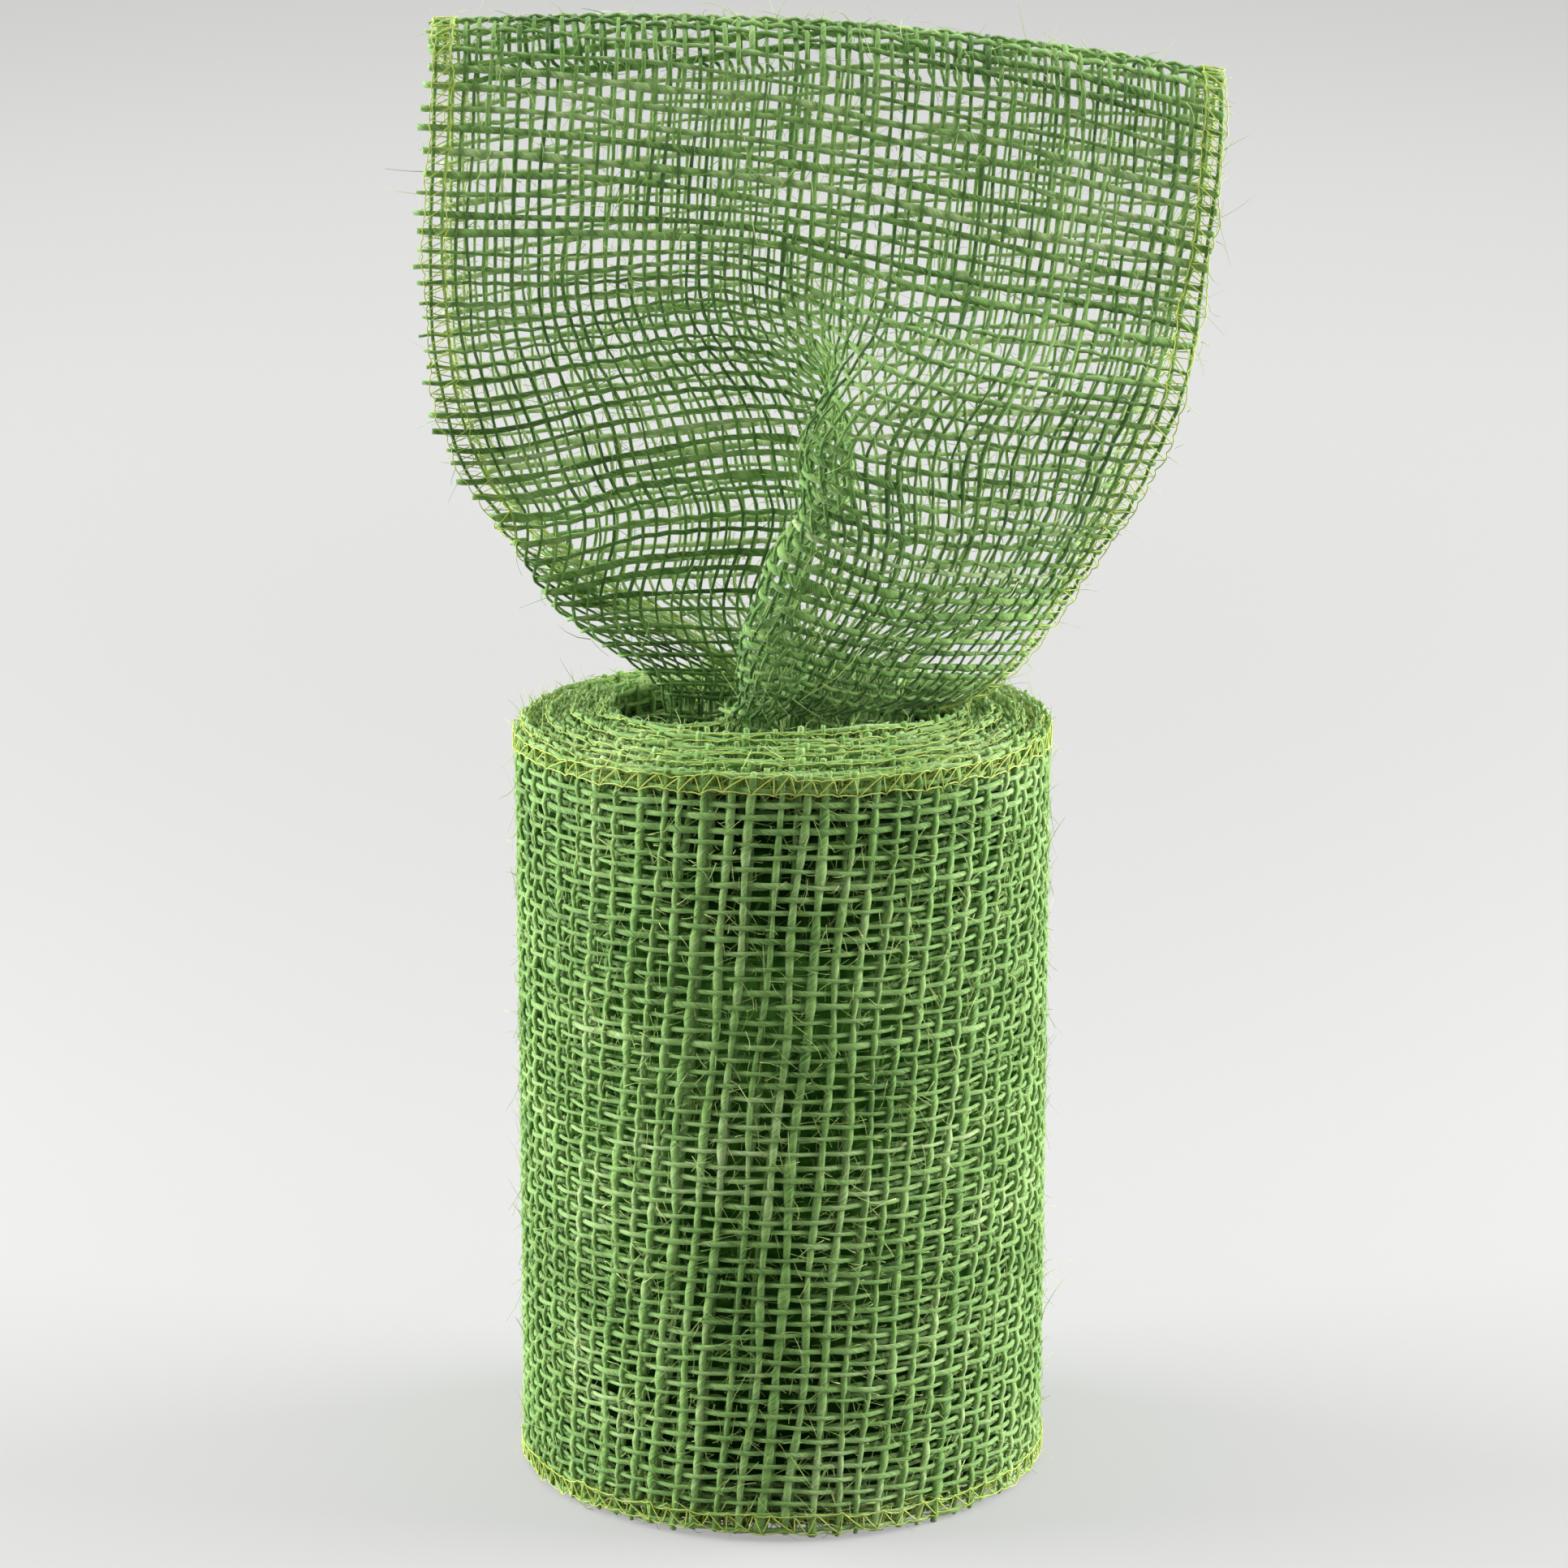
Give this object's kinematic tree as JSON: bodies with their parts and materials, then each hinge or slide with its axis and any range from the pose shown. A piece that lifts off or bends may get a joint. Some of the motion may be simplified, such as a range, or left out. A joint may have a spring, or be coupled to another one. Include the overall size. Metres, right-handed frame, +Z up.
{
  "type": "mesh ribbon roll",
  "caption": "Roll of open-weave jute ribbon with overlocked edges, standing on end, with a pleated loop of the same ribbon tucked into its hollow middle.",
  "frame": {"origin": "on the roll's axis, at the level of the surface that the roll stands on", "axes": "+Z up along the roll's axis, -Y towards the side with the loop's pleat, +X to the right when seen from there"},
  "size_m": [0.1521, 0.104, 0.2865],
  "materials": {
    "jute_cloth": "matt dyed jute yarn, uneven and hairy, in an open plain weave",
    "overlock_thread": "fine yellow-green overlock thread over the cloth's edge"
  },
  "bodies": {
    "roll": {"wound_ribbon": "jute_cloth", "upper_edge_seam": "overlock_thread", "lower_edge_seam": "overlock_thread"},
    "outer_end": {"outer_end": "jute_cloth", "outer_end_upper_seam": "overlock_thread", "outer_end_lower_seam": "overlock_thread"},
    "loop": {"loop_front_leaf": "jute_cloth", "loop_top_fold": "jute_cloth", "loop_back_leaf": "jute_cloth", "loop_left_seam": "overlock_thread", "loop_right_seam": "overlock_thread"}
  },
  "joints": [
    {"name": "loop_lift", "type": "slide", "parent": "roll", "child": "loop", "axis": [0, 0, 1], "range_m": [0, 0.06]},
    {"name": "outer_end_peel", "type": "hinge", "parent": "roll", "child": "outer_end", "pos_m": [-0.05241, 0.00458, 0.076], "axis": [0, 0, 1], "range_deg": [0, 70]}
  ]
}
